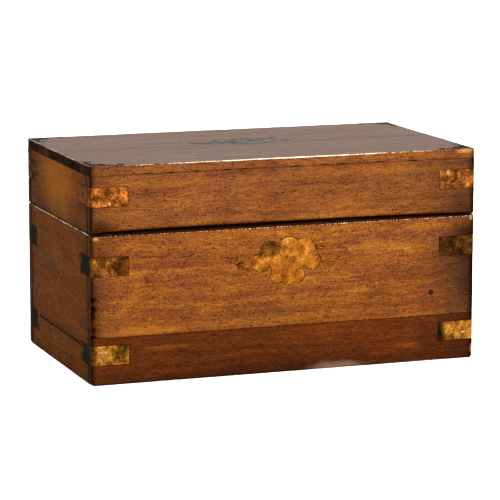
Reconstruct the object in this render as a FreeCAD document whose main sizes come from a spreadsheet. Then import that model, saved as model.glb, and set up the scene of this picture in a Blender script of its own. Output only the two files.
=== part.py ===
"""Brass-bound campaign chest with a hinged lid, as a parametric FreeCAD document in millimetres.

Frame: +Z up, +X to the right seen from the front, the front faces -Y.
The origin is the centre of the closed chest's footprint, on the surface it stands on.
"""
import FreeCAD
import Part
import os
import re
import Sketcher

SIZES = {
    # Outside of the closed chest
    "chest_width": 900,
    "chest_depth": 508,
    "base_height": 330,
    "lid_height": 149.5,
    "lid_gap": 0.5,
    # Boards
    "wall_thickness": 22,
    "top_thickness": 22,
    "bottom_thickness": 15,
    "edge_round": 4,
    "front_seam_height": 104,
    "side_seam_height": 78,
    # Tongues that join boards edge to edge, stopped short of the board's ends
    "seam_tongue_width": 6,
    "seam_tongue_height": 6,
    "seam_tongue_stop": 40,
    # Barefaced tongues on the side walls, in grooves of the front and back walls
    "corner_tongue_width": 8,
    "corner_tongue_length": 7.5,
    "tongue_relief": 0.5,
    # Bottom boards in a rabbet
    "rabbet_width": 11,
    "bottom_tongue_width": 5,
    "bottom_tongue_length": 6,
    "nail_width": 2.6,
    "nail_length": 38,
    "nail_set": 1,
    # Dust lips inside the walls
    "lip_thickness": 6,
    "lip_depth": 32,
    "lip_rise": 8,
    "lip_clearance": 0.8,
    "lip_chamfer": 2,
    # Corner straps, bent from brass sheet and let in flush
    "strap_width": 43,
    "strap_leg": 85,
    "strap_thickness": 2,
    "lid_strap_height": 60,
    "upper_strap_drop": 48,
    "lower_strap_height": 44,
    "pin_width": 3,
    "pin_length": 15,
    "pin_distance": 47,
    # Scrolled inlays
    "inlay_thickness": 1.6,
    "cartouche_width": 256,
    "front_cartouche_height": 252,
    "lid_cartouche_setback": 34,
    "corner_inlay_length": 78,
    "corner_inlay_margin": 4,
    # Butt hinges, sunk in the back so that nothing stands proud of it
    "hinge_spacing": 600,
    "hinge_length": 75,
    "leaf_depth": 15,
    "leaf_thickness": 2,
    "knuckle_radius": 4.5,
    "knuckle_gap": 0.3,
    "pin_inset": 5.5,
    "hinge_pin_radius": 1.75,
    "hinge_pin_clearance": 0.05,
    "cove_clearance": 0.5,
    "hinge_screw_radius": 2.3,
    "hinge_screw_length": 16,
    "hinge_screw_spacing": 50,
    "hinge_screw_setback": 10,
    # Bevels behind the hinge pin, which stop the open lid
    "lid_open_angle": 100,
    "stop_clearance_angle": 0.5,
}

# Planes that many pieces share, as formulas of the sizes above
OUTER_X = "(chest_width / 2)"
OUTER_Y = "(chest_depth / 2)"
INNER_X = "(chest_width / 2 - wall_thickness)"
INNER_Y = "(chest_depth / 2 - wall_thickness)"
FLOOR = "0"
RIM = "base_height"
LID_LOW = "(base_height + lid_gap)"
LID_TOP = "(base_height + lid_gap + lid_height)"
LID_UNDER = "(base_height + lid_gap + lid_height - top_thickness)"
HINGE_Y = "(chest_depth / 2 - pin_inset)"
HINGE_Z = "(base_height + lid_gap / 2)"
BEVEL_SLOPE = "tan(lid_open_angle / 2 + stop_clearance_angle)"
EDGE_CHAMFER = "(0.75 * edge_round)"

SCREW_SIDES = 6

document = FreeCAD.newDocument("campaign_chest")
sheet = document.addObject("Spreadsheet::Sheet", "sizes")
nodes = []


def fill_sheet():
    for row, (alias, size) in enumerate(SIZES.items(), start=1):
        sheet.set(f"A{row}", alias)
        sheet.set(f"B{row}", str(size))
        sheet.setAlias(f"B{row}", alias)
    document.recompute()


def formula(text):
    """Every size's name has an underscore, and stands in the sheet called sizes."""
    return re.sub(r"[a-z]+(?:_[a-z]+)+", r"sizes.\g<0>", text)


def amount(text):
    return float(sheet.evalExpression(formula(text)))


def bind(item, **formulas):
    """Tie properties to the sheet; a double underscore stands for the dot in a property's path."""
    for path, text in formulas.items():
        item.setExpression(path.replace("__", "."), formula(text))
    return item


def place(item, x="0", y="0", z="0"):
    return bind(item, Placement__Base__x=x, Placement__Base__y=y, Placement__Base__z=z)


def as_node(item, label):
    """Name a finished piece; each such label becomes one file."""
    item.Label = label
    nodes.append(item)
    return item


# ---------------------------------------------------------------- sketched bodies


def outline(body, plane, *loops, height=None):
    """Sketch straight-sided loops on one of the body's own planes, with every corner tied to the sheet."""
    sketch = body.newObject("Sketcher::SketchObject", body.Name + "_outline")
    support = next(f for f in body.Origin.OriginFeatures if f.Role == plane)
    sketch.AttachmentSupport = [(support, "")]
    sketch.MapMode = "FlatFace"
    if height:
        bind(sketch, AttachmentOffset__Base__z=height)
    for loop in loops:
        first = sketch.GeometryCount
        count = len(loop)
        corners = [FreeCAD.Vector(amount(x), amount(y), 0) for x, y in loop]
        for i in range(count):
            sketch.addGeometry(Part.LineSegment(corners[i], corners[(i + 1) % count]))
        for i in range(count):
            following = first + (i + 1) % count
            sketch.addConstraint(Sketcher.Constraint("Coincident", first + i, 2, following, 1))
        for i in range(count):
            for axis, text, size in zip("XY", loop[i], corners[i]):
                kind = "Distance" + axis
                number = sketch.addConstraint(Sketcher.Constraint(kind, -1, 1, first + i, 1, size))
                name = f"corner_{first + i}_{axis}"
                sketch.renameConstraint(number, name)
                sketch.setExpression("Constraints." + name, formula(text))
    return sketch


def rectangle(low_x, low_y, high_x, high_y):
    return [(low_x, low_y), (high_x, low_y), (high_x, high_y), (low_x, high_y)]


def add_pad(body, sketch, length, both_ways=True):
    pad = body.newObject("PartDesign::Pad", body.Name + "_pad")
    pad.Profile = sketch
    pad.Midplane = both_ways
    bind(pad, Length=length)
    return pad


def add_pocket(body, sketch, length=None):
    """Cut both ways from the sketch, right through unless a length is given."""
    pocket = body.newObject("PartDesign::Pocket", body.Name + "_pocket")
    pocket.Profile = sketch
    pocket.Midplane = True
    if length:
        bind(pocket, Length=length)
    else:
        pocket.Type = "ThroughAll"
    before = body.Shape.Volume
    document.recompute()
    if not pocket.Shape.Volume < before:
        raise RuntimeError(f"{pocket.Name} cuts nothing")
    return pocket


def edges_shared(body, *plane_sets):
    """Names of the straight edges that lie in a plane of every set; a plane is an axis and a formula."""
    document.recompute()

    def lies_in(edge, plane):
        axis, level = plane[0], amount(plane[1])
        return all(abs(getattr(v.Point, axis) - level) < 1e-6 for v in edge.Vertexes)

    return [f"Edge{i}" for i, edge in enumerate(body.Shape.Edges, start=1)
            if all(any(lies_in(edge, plane) for plane in planes) for planes in plane_sets)]


def dress_edges(body, kind, edges, **size):
    """Fillet or chamfer the named edges of the body as it stands."""
    so_far = body.Tip
    dressing = body.newObject("PartDesign::" + kind, body.Name + "_" + kind.lower())
    dressing.Base = (so_far, edges)
    bind(dressing, **size)
    document.recompute()
    return dressing


def ease_long(body, side, level):
    """Round the two upright corners of a front or back piece, then chamfer its outer edges at a level."""
    ends = [("x", f"-{OUTER_X}"), ("x", OUTER_X)]
    face = [("y", f"{side} * {OUTER_Y}")]
    dress_edges(body, "Fillet", edges_shared(body, ends, face), Radius="edge_round")
    dress_edges(body, "Chamfer", edges_shared(body, ends + face, [("z", level)]), Size=EDGE_CHAMFER)


def ease_short(body, side, level):
    """Chamfer the outer edge of a side piece at a level."""
    edges = edges_shared(body, [("x", f"{side} * {OUTER_X}")], [("z", level)])
    dress_edges(body, "Chamfer", edges, Size=EDGE_CHAMFER)


# ---------------------------------------------------------------- plain tools and groups


def box(name, low, high):
    """Block between two corners, each given as three formulas."""
    block = document.addObject("Part::Box", name)
    place(block, *low)
    spans = [f"({top}) - ({bottom})" for bottom, top in zip(low, high)]
    return bind(block, Length=spans[0], Width=spans[1], Height=spans[2])


def rod(name, radius, length, x, y=HINGE_Y, z=HINGE_Z):
    """Round bar along X, centred on x."""
    bar = document.addObject("Part::Cylinder", name)
    bar.Placement.Rotation = FreeCAD.Rotation(FreeCAD.Vector(0, 1, 0), 90)
    bind(bar, Radius=radius, Height=length)
    return place(bar, f"({x}) - ({length}) / 2", y, z)


def fuse(name, *pieces):
    joined = document.addObject("Part::MultiFuse", name)
    joined.Shapes = list(pieces)
    joined.Refine = True
    return joined


def group(name, pieces):
    """Separate solids kept together in one object."""
    together = document.addObject("Part::Compound", name)
    together.Links = list(pieces)
    return together


def cut(name, base, tool):
    trimmed = document.addObject("Part::Cut", name)
    trimmed.Base = base
    trimmed.Tool = tool
    return trimmed


def let_in(label, blank, fittings):
    """Board with recesses and holes of the fittings' own shapes, so each fitting seats on the wood."""
    return as_node(cut(label + "_board", blank, fittings), label)


# ---------------------------------------------------------------- carcass boards


def new_body(name):
    return document.addObject("PartDesign::Body", name)


def seam_key(middle, seam, relief):
    """Section of the tongue between two boards, hanging below the seam in the wall's middle."""
    half = "seam_tongue_width / 2"
    return rectangle(f"{middle} - {half}", f"{seam} - seam_tongue_height - {relief}",
                     f"{middle} + {half}", seam)


def add_seam_tongue(body, plane, middle, seam, span):
    key = seam_key(middle, seam, "0")
    add_pad(body, outline(body, plane, key), f"{span} - 2 * seam_tongue_stop")


def add_seam_groove(body, plane, middle, seam, span):
    key = seam_key(middle, seam, "tongue_relief")
    add_pocket(body, outline(body, plane, key), f"{span} - 2 * seam_tongue_stop")


def long_wall(name, side, low, high):
    """Board across the front (side -1) or back (side 1), grooved near its ends for the side walls."""
    body = new_body(name)
    faces = (f"{side} * {INNER_Y}", f"{side} * {OUTER_Y}")
    add_pad(body, outline(body, "YZ_Plane", rectangle(faces[0], low, faces[1], high)), "chest_width")
    document.recompute()
    groove_floor = f"{side} * ({INNER_Y} + corner_tongue_length + tongue_relief)"
    grooves = [rectangle(f"{end} * {INNER_X}", faces[0],
                         f"{end} * ({INNER_X} + corner_tongue_width)", groove_floor)
               for end in (-1, 1)]
    add_pocket(body, outline(body, "XY_Plane", *grooves))
    return body


def short_wall(name, side, low, high):
    """Board across the left (side -1) or right (side 1) end, with a barefaced tongue at each end."""
    body = new_body(name)
    tongue_face = f"{side} * ({INNER_X} + corner_tongue_width)"
    tongue_end = f"({INNER_Y} + corner_tongue_length)"
    inner = f"{side} * {INNER_X}"
    outer = f"{side} * {OUTER_X}"
    plan = [(outer, f"-{INNER_Y}"), (tongue_face, f"-{INNER_Y}"), (tongue_face, f"-{tongue_end}"),
            (inner, f"-{tongue_end}"), (inner, tongue_end), (tongue_face, tongue_end),
            (tongue_face, INNER_Y), (outer, INNER_Y)]
    add_pad(body, outline(body, "XY_Plane", plan, height=low), f"{high} - {low}", both_ways=False)
    document.recompute()
    return body


def wall_middle(side, outer):
    return f"{side} * ({outer} - wall_thickness / 2)"


def upper_long_board(name, side):
    body = long_wall(name, side, "front_seam_height", RIM)
    add_seam_tongue(body, "YZ_Plane", wall_middle(side, OUTER_Y), "front_seam_height", "chest_width")
    ease_long(body, side, RIM)
    return body


def lower_long_board(name, side):
    body = long_wall(name, side, FLOOR, "front_seam_height")
    add_seam_groove(body, "YZ_Plane", wall_middle(side, OUTER_Y), "front_seam_height", "chest_width")
    rabbet = rectangle(f"{side} * {INNER_Y}", FLOOR,
                       f"{side} * ({INNER_Y} + rabbet_width)", "bottom_thickness")
    add_pocket(body, outline(body, "YZ_Plane", rabbet), f"2 * ({INNER_X} + rabbet_width)")
    ease_long(body, side, FLOOR)
    return body


def upper_short_board(name, side):
    body = short_wall(name, side, "side_seam_height", RIM)
    add_seam_tongue(body, "XZ_Plane", wall_middle(side, OUTER_X), "side_seam_height", f"2 * {INNER_Y}")
    ease_short(body, side, RIM)
    return body


def lower_short_board(name, side):
    body = short_wall(name, side, FLOOR, "side_seam_height")
    add_seam_groove(body, "XZ_Plane", wall_middle(side, OUTER_X), "side_seam_height", f"2 * {INNER_Y}")
    rabbet = rectangle(f"{side} * {INNER_X}", FLOOR,
                       f"{side} * ({INNER_X} + rabbet_width)", "bottom_thickness")
    add_pocket(body, outline(body, "XZ_Plane", rabbet))
    ease_short(body, side, FLOOR)
    return body


def long_rail(name, side):
    body = long_wall(name, side, LID_LOW, LID_UNDER)
    ease_long(body, side, LID_LOW)
    return body


def short_rail(name, side):
    body = short_wall(name, side, LID_LOW, LID_UNDER)
    ease_short(body, side, LID_LOW)
    return body


def add_stop_bevel(body, way):
    """Slope the back edge away from the hinge pin, down (way -1) on the base or up (way 1) on the lid."""
    reach = "(2 * pin_inset)"
    wedge = [(HINGE_Y, HINGE_Z), (f"{HINGE_Y} + {reach}", HINGE_Z),
             (f"{HINGE_Y} + {reach}", f"{HINGE_Z} + {way} * {reach} * {BEVEL_SLOPE}")]
    add_pocket(body, outline(body, "YZ_Plane", wedge))


def top_board(name, side):
    """Half of the lid's top; the back half carries the tongue and the front half the groove."""
    body = new_body(name)
    board = rectangle("0", LID_UNDER, f"{side} * {OUTER_Y}", LID_TOP)
    add_pad(body, outline(body, "YZ_Plane", board), "chest_width")
    document.recompute()
    middle = f"({LID_TOP} - top_thickness / 2)"
    half = "seam_tongue_width / 2"
    length = "chest_width - 2 * seam_tongue_stop"
    if side > 0:
        key = rectangle("-seam_tongue_height", f"{middle} - {half}", "0", f"{middle} + {half}")
        add_pad(body, outline(body, "YZ_Plane", key), length)
    else:
        key = rectangle("-seam_tongue_height - tongue_relief", f"{middle} - {half}",
                        "0", f"{middle} + {half}")
        add_pocket(body, outline(body, "YZ_Plane", key), length)
    ease_long(body, side, LID_TOP)
    return body


# ---------------------------------------------------------------- bottom and lips


def bottom_board(name, low_y, high_y, low_edge, high_edge):
    """Board along the chest's length; each long edge is plain, or has a tongue or a groove."""
    body = new_body(name)
    middle = "bottom_thickness / 2"
    half = "bottom_tongue_width / 2"

    def edge_points(y, away, shape, rising):
        reach = {"plain": None,
                 "tongue": f"{y} + {away} * bottom_tongue_length",
                 "groove": f"{y} - {away} * (bottom_tongue_length + tongue_relief)"}[shape]
        points = [(y, FLOOR)]
        if reach:
            points += [(y, f"{middle} - {half}"), (reach, f"{middle} - {half}"),
                       (reach, f"{middle} + {half}"), (y, f"{middle} + {half}")]
        points += [(y, "bottom_thickness")]
        return points if rising else points[::-1]

    section = edge_points(high_y, 1, high_edge, True) + edge_points(low_y, -1, low_edge, False)
    add_pad(body, outline(body, "YZ_Plane", section), f"2 * ({INNER_X} + rabbet_width)")
    return body


def lip_section(side, wall):
    """Section across a lip: flat on the wall, set back above the rim and chamfered at the top."""
    back = f"{side} * ({wall} - lip_clearance)"
    front = f"{side} * ({wall} - lip_thickness)"
    crown = f"{RIM} + lip_rise"
    return [(f"{side} * {wall}", f"{RIM} - lip_depth"), (front, f"{RIM} - lip_depth"), (front, crown),
            (f"{side} * ({wall} - lip_clearance - lip_chamfer)", crown), (back, f"{crown} - lip_chamfer"),
            (back, RIM), (f"{side} * {wall}", RIM)]


def make_front_lip():
    body = new_body("front_lip")
    section = outline(body, "YZ_Plane", lip_section(-1, INNER_Y))
    add_pad(body, section, f"2 * ({INNER_X} - lip_clearance)")
    return as_node(body, "front_lip")


def make_side_lip(label, side):
    """Lip from the front lip to just short of the back wall."""
    body = new_body(label)
    section = outline(body, "XZ_Plane", lip_section(side, INNER_X))
    add_pad(body, section, f"2 * {INNER_Y} - lip_thickness - lip_clearance")
    place(body, y="(lip_thickness - lip_clearance) / 2")
    return as_node(body, label)


def make_bottom_nails():
    """Square cut nails up through the bottom boards into the walls, set a little below the surface."""
    half = "nail_width / 2"
    in_rabbet_x = f"({INNER_X} + rabbet_width / 2)"
    in_rabbet_y = f"({INNER_Y} + rabbet_width / 2)"
    board_width = f"(2 * ({INNER_Y} + rabbet_width) / 3)"
    along = [(f"{share} * {INNER_X}", f"{side} * {in_rabbet_y}")
             for side in (-1, 1) for share in (-0.7, 0, 0.7)]
    across = [(f"{side} * {in_rabbet_x}", f"{board} * {board_width}")
              for side in (-1, 1) for board in (-1, 0, 1)]
    nails = [box("bottom_nail", (f"{x} - {half}", f"{y} - {half}", "nail_set"),
                 (f"{x} + {half}", f"{y} + {half}", "nail_set + nail_length"))
             for x, y in along + across]
    return as_node(group("bottom_nails", nails), "bottom_nails")


# ---------------------------------------------------------------- corner straps


STRAP_LEVELS = {
    "lid": f"({LID_LOW} + lid_strap_height)",
    "base_upper": f"({RIM} - upper_strap_drop - strap_width)",
    "base_lower": "lower_strap_height",
}
CORNERS = {"front_left": (-1, -1), "front_right": (1, -1), "back_right": (1, 1), "back_left": (-1, 1)}


def strap_blank(name, side_x, side_y, level, quarter_turns):
    """Brass strip bent round the corner, its legs along +X and +Y before it is turned to its corner."""
    body = new_body(name)
    bend = [("0", "0"), ("strap_leg", "0"),
            ("strap_leg", "strap_thickness"), ("strap_thickness", "strap_thickness"),
            ("strap_thickness", "strap_leg"), ("0", "strap_leg")]
    add_pad(body, outline(body, "XY_Plane", bend), "strap_width", both_ways=False)
    outside = edges_shared(body, [("x", "0")], [("y", "0")])
    dress_edges(body, "Fillet", outside, Radius="edge_round")
    inside = edges_shared(body, [("x", "strap_thickness")], [("y", "strap_thickness")])
    dress_edges(body, "Chamfer", inside, Size="max(edge_round - strap_thickness; 0.2)")
    body.Placement.Rotation = FreeCAD.Rotation(FreeCAD.Vector(0, 0, 1), 90 * quarter_turns)
    return place(body, f"{side_x} * {OUTER_X}", f"{side_y} * {OUTER_Y}", level)


def strap_pins(side_x, side_y, level):
    """A square cut pin in each leg, filed flush, from the strap's face into the board behind it."""
    half = "pin_width / 2"
    middle = f"({level} + strap_width / 2)"
    x = f"{side_x} * ({OUTER_X} - pin_distance)"
    y = f"{side_y} * ({OUTER_Y} - pin_distance)"
    depth_x = (f"{side_x} * {OUTER_X}", f"{side_x} * ({OUTER_X} - pin_length)")[::-side_x]
    depth_y = (f"{side_y} * {OUTER_Y}", f"{side_y} * ({OUTER_Y} - pin_length)")[::-side_y]
    return [box("strap_pin", (f"{x} - {half}", depth_y[0], f"{middle} - {half}"),
                (f"{x} + {half}", depth_y[1], f"{middle} + {half}")),
            box("strap_pin", (depth_x[0], f"{y} - {half}", f"{middle} - {half}"),
                (depth_x[1], f"{y} + {half}", f"{middle} + {half}"))]


def make_straps(rows, pins_label):
    """Four straps for each row of corners, and one node with all their pins."""
    blanks = {}
    pins = []
    for row in rows:
        for turns, (corner, (side_x, side_y)) in enumerate(CORNERS.items()):
            label = f"{row}_strap_{corner}"
            blanks[label] = strap_blank(label + "_blank", side_x, side_y, STRAP_LEVELS[row], turns)
            pins += strap_pins(side_x, side_y, STRAP_LEVELS[row])
    all_pins = as_node(group(pins_label, pins), pins_label)
    straps = [as_node(cut(label, blank, all_pins), label) for label, blank in blanks.items()]
    return straps + [all_pins]


# ---------------------------------------------------------------- scrolled inlays


def disc(unit, x, y, radius):
    """One round lobe of an inlay, lying below its face; the numbers are shares of the unit length."""
    lobe = document.addObject("Part::Cylinder", "lobe")
    bind(lobe, Radius=f"{radius} * {unit}", Height="inlay_thickness")
    return place(lobe, f"{x} * {unit}", f"{y} * {unit}", "-inlay_thickness")


def leaf(unit, x, y, radius, hollow_x, hollow_y, hollow_radius):
    """Crescent leaf of an inlay: a lobe about x, y with another lobe taken out of it."""
    return cut("leaf", disc(unit, x, y, radius), disc(unit, hollow_x, hollow_y, hollow_radius))


def cartouche(label):
    """Symmetrical scalloped shield with a curling leaf on each side, cut from brass sheet."""
    unit = "cartouche_width"
    pieces = [disc(unit, 0, 0.005, 0.162), disc(unit, 0, 0.135, 0.090), disc(unit, 0, -0.170, 0.060)]
    for way in (-1, 1):
        pieces += [
            disc(unit, way * 0.172, 0.085, 0.100),
            disc(unit, way * 0.235, -0.015, 0.082),
            disc(unit, way * 0.090, -0.140, 0.066),
            leaf(unit, way * 0.370, 0.144, 0.187, way * 0.355, 0.270, 0.300),
        ]
    return as_node(fuse(label, *pieces), label)


def make_front_cartouche():
    inlay = cartouche("front_cartouche")
    inlay.Placement.Rotation = FreeCAD.Rotation(FreeCAD.Vector(1, 0, 0), 90)
    return place(inlay, y=f"-{OUTER_Y}", z="front_cartouche_height")


def make_lid_cartouche():
    return place(cartouche("lid_cartouche"), y="lid_cartouche_setback", z=LID_TOP)


def make_corner_inlays():
    """Spandrels in the lid's corners: two arms that taper along the edges, and a point on the diagonal."""
    unit = "corner_inlay_length"
    inlays = []
    for turns, (corner, (side_x, side_y)) in enumerate(CORNERS.items()):
        square = box("corner_square", ("0", "0", "-inlay_thickness"), (unit, unit, "0"))
        arms = cut("corner_arms", square, disc(unit, 1.02, 1.02, 0.96))
        point = box("corner_point", (f"0.2 * {unit}", f"0.2 * {unit}", "-inlay_thickness"),
                    (f"0.44 * {unit}", f"0.44 * {unit}", "0"))
        label = "lid_corner_inlay_" + corner
        inlay = as_node(fuse(label, arms, point), label)
        inlay.Placement.Rotation = FreeCAD.Rotation(FreeCAD.Vector(0, 0, 1), 90 * turns)
        inset_x = f"{side_x} * ({OUTER_X} - corner_inlay_margin)"
        inset_y = f"{side_y} * ({OUTER_Y} - corner_inlay_margin)"
        inlays.append(place(inlay, inset_x, inset_y, LID_TOP))
    return inlays


# ---------------------------------------------------------------- hinges


HINGES = {"hinge_left": "(-hinge_spacing / 2)", "hinge_right": "(hinge_spacing / 2)"}
KNUCKLE_LENGTH = "((hinge_length - 2 * knuckle_gap) / 3)"
KNUCKLE_STEP = "((hinge_length + knuckle_gap) / 3)"


def hinge_leaf(label, x, knuckles, plate_low, plate_high):
    """Leaf with its rolled knuckles; the plate is notched beside the other leaf's knuckles."""
    plate_front = f"{HINGE_Y} - leaf_depth"
    notch = f"{HINGE_Y} - knuckle_radius - knuckle_gap"
    pieces = [box(label + "_plate", (f"{x} - hinge_length / 2", plate_front, plate_low),
                  (f"{x} + hinge_length / 2", notch, plate_high))]
    for step in knuckles:
        centre = f"({x} + {step} * {KNUCKLE_STEP})"
        pieces.append(box(label + "_root", (f"{centre} - {KNUCKLE_LENGTH} / 2", plate_front, plate_low),
                          (f"{centre} + {KNUCKLE_LENGTH} / 2", HINGE_Y, plate_high)))
        pieces.append(rod(label + "_knuckle", "knuckle_radius", KNUCKLE_LENGTH, centre))
    bore = rod(label + "_bore", "hinge_pin_radius + hinge_pin_clearance", "2 * hinge_length", x)
    return cut(label + "_bored", fuse(label + "_rolled", *pieces), bore)


def hinge_screws(x, face, way):
    """Screws through a leaf, from its face into the wood."""
    screws = []
    for end in (-1, 1):
        screw = document.addObject("Part::Prism", "hinge_screw")
        screw.Polygon = SCREW_SIDES
        bind(screw, Circumradius="hinge_screw_radius", Height="hinge_screw_length")
        foot = face if way > 0 else f"{face} - hinge_screw_length"
        screws.append(place(screw, f"{x} + {end} * hinge_screw_spacing / 2",
                            f"{HINGE_Y} - hinge_screw_setback", foot))
    return screws


def make_hinge_half(body, knuckles, plate_low, plate_high, face, way):
    """The leaves on one body of both hinges, with their screws as one node."""
    screws = []
    for x in HINGES.values():
        screws += hinge_screws(x, face, way)
    all_screws = as_node(group(body + "_hinge_screws", screws), body + "_hinge_screws")
    leaves = []
    for hinge, x in HINGES.items():
        label = f"{hinge}_{body}_leaf"
        leaf = hinge_leaf(label, x, knuckles, plate_low, plate_high)
        leaves.append(as_node(cut(label, leaf, all_screws), label))
    return leaves + [all_screws]


def make_hinge_pins():
    for hinge, x in HINGES.items():
        as_node(rod(hinge + "_pin", "hinge_pin_radius", "hinge_length", x), hinge + "_pin")


def hinge_coves():
    """Hollows in the wood round both rows of knuckles."""
    return [rod("hinge_cove", "knuckle_radius + cove_clearance", "hinge_length + 2 * cove_clearance", x)
            for x in HINGES.values()]


# ---------------------------------------------------------------- assembly


def build_base():
    fittings = make_straps(("base_upper", "base_lower"), "base_strap_pins")
    fittings.append(make_front_cartouche())
    fittings.append(make_bottom_nails())
    fittings += make_hinge_half("base", (-1, 1), f"{RIM} - leaf_thickness", RIM, RIM, -1)
    let_into_base = group("let_into_base", fittings)
    for side, name in ((-1, "front"), (1, "back")):
        upper = upper_long_board(name + "_upper_blank", side)
        if side > 0:
            add_stop_bevel(upper, -1)
            upper = cut("back_upper_coved", upper, group("base_coves", hinge_coves()))
        let_in(name + "_upper_board", upper, let_into_base)
        let_in(name + "_lower_board", lower_long_board(name + "_lower_blank", side), let_into_base)
    for side, name in ((-1, "left"), (1, "right")):
        let_in(name + "_upper_board", upper_short_board(name + "_upper_blank", side), let_into_base)
        let_in(name + "_lower_board", lower_short_board(name + "_lower_blank", side), let_into_base)
    edge = f"({INNER_Y} + rabbet_width)"
    thirds = [f"-{edge}", f"-{edge} / 3", f"{edge} / 3", edge]
    edges = {"front": ("plain", "groove"), "middle": ("tongue", "tongue"), "back": ("groove", "plain")}
    for place_name, low, high in zip(edges, thirds, thirds[1:]):
        label = f"bottom_{place_name}_board"
        let_in(label, bottom_board(label + "_blank", low, high, *edges[place_name]), let_into_base)
    make_front_lip()
    make_side_lip("left_lip", -1)
    make_side_lip("right_lip", 1)
    make_hinge_pins()


def build_lid():
    fittings = make_straps(("lid",), "lid_strap_pins")
    fittings.append(make_lid_cartouche())
    fittings += make_corner_inlays()
    fittings += make_hinge_half("lid", (0,), LID_LOW, f"{LID_LOW} + leaf_thickness", LID_LOW, 1)
    let_into_lid = group("let_into_lid", fittings)
    for side, name in ((-1, "front"), (1, "back")):
        rail = long_rail(f"lid_{name}_rail_blank", side)
        if side > 0:
            add_stop_bevel(rail, 1)
            rail = cut("lid_back_rail_coved", rail, group("lid_coves", hinge_coves()))
        let_in(f"lid_{name}_rail", rail, let_into_lid)
        let_in(f"lid_top_{name}_board", top_board(f"lid_top_{name}_blank", side), let_into_lid)
    for side, name in ((-1, "left"), (1, "right")):
        let_in(f"lid_{name}_rail", short_rail(f"lid_{name}_rail_blank", side), let_into_lid)


def check_document():
    document.recompute()
    failed = [o.Name for o in document.Objects if {"Invalid", "Error"} & set(o.State)]
    if failed:
        raise RuntimeError(f"failed objects: {failed}")
    for node in nodes:
        if node.Shape.isNull() or not node.Shape.isValid() or node.Shape.Volume <= 0:
            raise RuntimeError(f"bad shape: {node.Label}")


def write_nodes():
    os.makedirs("parts", exist_ok=True)
    for node in nodes:
        node.Shape.exportStep(f"parts/{node.Label}.step")
        print(f"{node.Label}: {len(node.Shape.Solids)} solid(s), {node.Shape.Volume:.0f} mm3")


fill_sheet()
build_base()
build_lid()
check_document()
write_nodes()
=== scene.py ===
"""Looks of a brass-bound campaign chest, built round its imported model, in metres.

+Z is up, +X is to the right seen from the front, and the front faces -Y.
"""
import math

import bmesh
import bpy
from mathutils import Matrix, Vector, noise


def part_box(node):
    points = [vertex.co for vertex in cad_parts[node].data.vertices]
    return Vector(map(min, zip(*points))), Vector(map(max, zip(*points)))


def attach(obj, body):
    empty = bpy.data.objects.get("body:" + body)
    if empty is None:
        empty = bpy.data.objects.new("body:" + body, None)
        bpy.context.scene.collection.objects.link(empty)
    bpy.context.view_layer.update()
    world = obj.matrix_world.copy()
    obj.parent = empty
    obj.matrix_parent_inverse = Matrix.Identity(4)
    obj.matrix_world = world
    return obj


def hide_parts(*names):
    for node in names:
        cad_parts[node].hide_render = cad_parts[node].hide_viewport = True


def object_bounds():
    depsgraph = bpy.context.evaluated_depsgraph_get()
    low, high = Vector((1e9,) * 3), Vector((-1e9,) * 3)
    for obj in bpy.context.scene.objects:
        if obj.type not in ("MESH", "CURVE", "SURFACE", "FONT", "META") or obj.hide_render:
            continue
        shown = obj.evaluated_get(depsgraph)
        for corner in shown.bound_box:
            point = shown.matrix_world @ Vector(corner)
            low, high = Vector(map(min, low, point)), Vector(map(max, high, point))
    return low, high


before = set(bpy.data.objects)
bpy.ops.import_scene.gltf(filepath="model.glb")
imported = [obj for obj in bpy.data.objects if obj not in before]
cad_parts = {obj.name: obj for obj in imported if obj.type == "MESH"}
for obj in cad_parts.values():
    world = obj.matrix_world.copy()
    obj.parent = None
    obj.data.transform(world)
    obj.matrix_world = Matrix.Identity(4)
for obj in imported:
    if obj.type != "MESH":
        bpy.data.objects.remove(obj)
cad_low, cad_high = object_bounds()

# ---------------- walls of the base
# Eight boards of mahogany, two to a wall, with the seam lower on the short walls. They are planed
# by hand, stained and waxed. Years of knocks have rounded and chipped the outer edges, and dirt has
# settled where two boards meet.
MM = 0.001
FRONT, BACK, LEFT, RIGHT, TOP, UNDER = "y-", "y+", "x-", "x+", "z+", "z-"

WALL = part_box("front_lower_board")[1].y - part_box("front_lower_board")[0].y
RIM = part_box("front_upper_board")[1].z
FRONT_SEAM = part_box("front_lower_board")[1].z
SIDE_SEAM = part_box("left_lower_board")[1].z
OUT_X, OUT_Y = cad_high.x, cad_high.y
IN_X, IN_Y = OUT_X - WALL, OUT_Y - WALL

SEAM_WEAR = 0.8 * MM
CORNER_WEAR = 4.5 * MM
RIM_WEAR = 4 * MM
FOOT_WEAR = 4 * MM
END_WEAR = 7 * MM
INSIDE_WEAR = 1.2 * MM
MOST_WEAR = 9.5 * MM
SHARP_ANGLE = math.radians(40)

# Each strap lies in a recess a little larger than itself, filled at its edges with old wax and dirt
STRAP_GAP = 0.7 * MM
STRAP_THICKNESS = 2 * MM
STRAP_NODES = [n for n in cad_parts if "_strap_" in n and not n.endswith("pins")]
STRAP_BOXES = [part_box(n) for n in STRAP_NODES]


def ruling(low, high, step, marks=()):
    """Places of a mesh's lines along one axis: close by both ends, and one on each side of a mark."""
    insets = [0, 0.5 * MM, 1.1 * MM, 1.9 * MM, 2.9 * MM, 4.2 * MM, 6 * MM, 9 * MM]
    insets = [i for i in insets if i < 0.45 * (high - low)]
    start, stop = low + insets[-1], high - insets[-1]
    count = max(1, round((stop - start) / step))
    lines = [low + i for i in insets] + [high - i for i in insets]
    lines += [start + (stop - start) * i / count for i in range(1, count)]
    for mark in marks:
        lines = [line for line in lines if abs(line - mark) > 1.2 * MM or line in (low, high)]
        lines += [mark - 0.15 * MM, mark + 0.15 * MM]
    return sorted(lines)


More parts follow.
